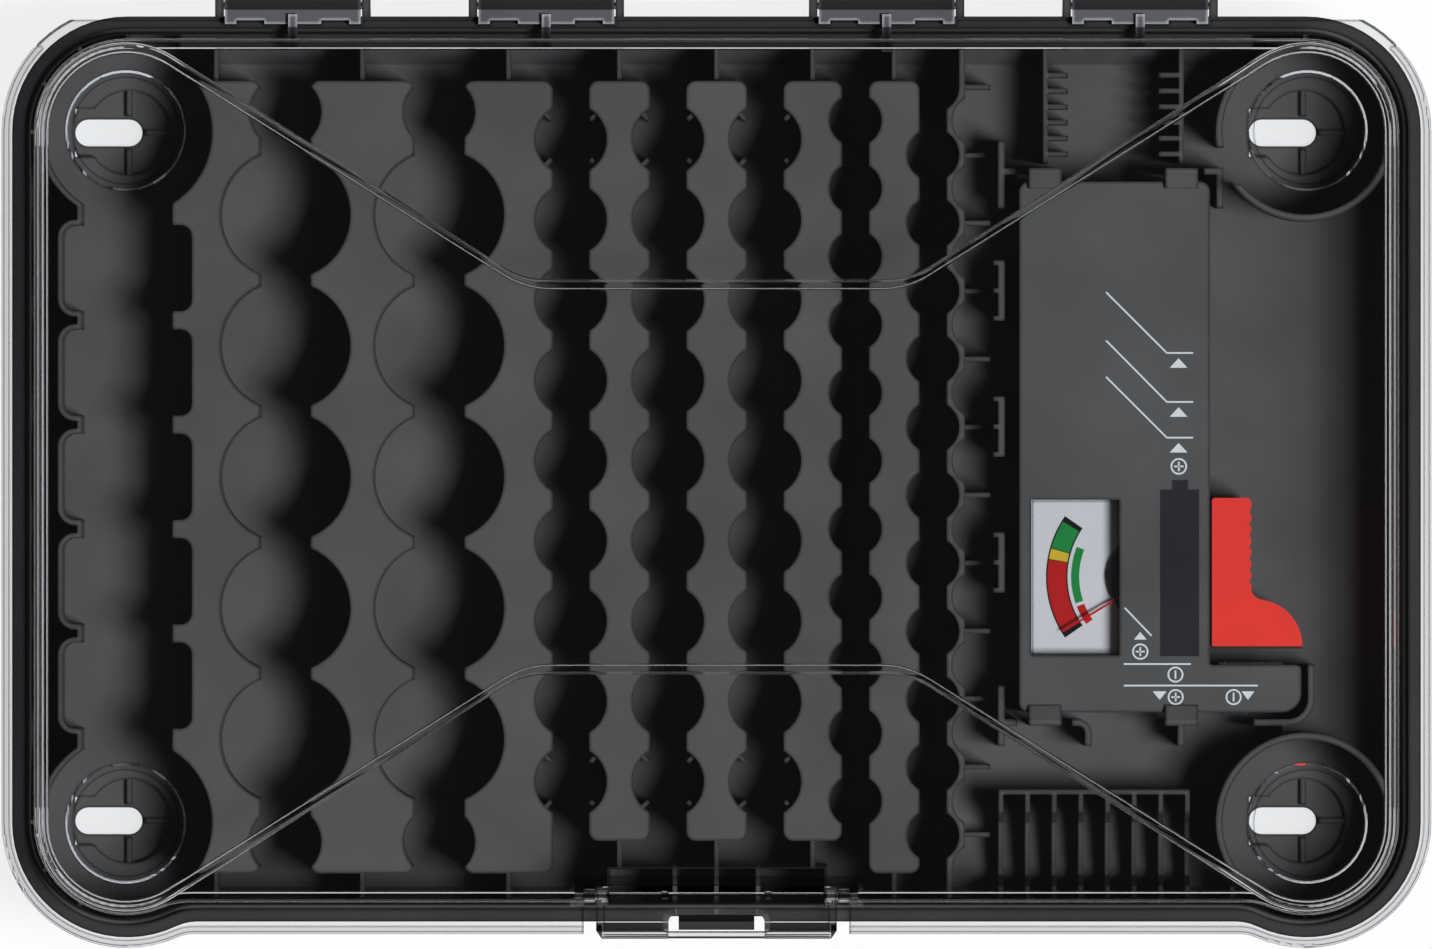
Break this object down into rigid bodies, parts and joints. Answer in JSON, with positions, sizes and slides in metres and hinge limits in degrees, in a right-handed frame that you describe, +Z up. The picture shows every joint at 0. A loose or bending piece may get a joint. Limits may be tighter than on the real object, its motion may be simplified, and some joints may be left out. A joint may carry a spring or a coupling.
{
  "type": "battery storage case",
  "caption": "Hinged storage case with wells for several sizes of cells, coin-cell racks and a slide-clamp battery tester, under a clear lid with a front latch.",
  "frame": {"origin": "middle of the four corner posts, on the surface the feet stand on", "axes": "+X to the right with the latch in front, +Y to the hinges, +Z up through the lid"},
  "size_m": [0.2984, 0.1997, 0.0598],
  "materials": {
    "tray_black": "fine moulded texture",
    "lid_clear": "polished clear",
    "window_clear": "polished clear",
    "tester_grey": "fine moulded texture",
    "slider_red": "satin",
    "needle_red": "painted",
    "dial_white": "printed card",
    "movement_black": "moulded",
    "contact_metal": "nickel plated",
    "steel": "drawn wire",
    "resistor_body": "lacquered"
  },
  "bodies": {
    "base": {"base_tray": "tray_black", "hinge_pin_1": "steel", "hinge_pin_2": "steel", "hinge_pin_3": "steel", "hinge_pin_4": "steel", "tester_front_shell": "tester_grey", "tester_back_shell": "tester_grey", "tester_screws": "steel", "meter_window": "window_clear", "meter_dial": "dial_white", "meter_movement": "movement_black", "foot_contact": "contact_metal", "block_contacts": "contact_metal", "load_resistor": "resistor_body"},
    "lid": {"lid": "lid_clear", "latch_pin": "steel", "hinge_clip_1": "tray_black", "hinge_clip_2": "tray_black", "hinge_clip_3": "tray_black", "hinge_clip_4": "tray_black"},
    "latch": {"latch": "lid_clear"},
    "slider": {"clamp_slider": "slider_red", "slider_contact": "contact_metal"},
    "needle": {"meter_needle": "needle_red"}
  },
  "joints": [
    {"name": "lid_hinge", "type": "hinge", "parent": "base", "child": "lid", "pos_m": [0, 0.0986, 0.041], "axis": [-1, 0, 0], "range_deg": [0, 180]},
    {"name": "latch_hinge", "type": "hinge", "parent": "lid", "child": "latch", "pos_m": [0, -0.0874, 0.0465], "axis": [-1, 0, 0], "range_deg": [0, 95]},
    {"name": "clamp_slide", "type": "slide", "parent": "base", "child": "slider", "axis": [0, 1, 0], "range_m": [0, 0.06]},
    {"name": "needle_pivot", "type": "hinge", "parent": "base", "child": "needle", "pos_m": [0.0913, -0.0209, 0.0257], "axis": [0, 0, -1], "range_deg": [0, 62], "stiffness_Nm_per_rad": 0.00002}
  ]
}
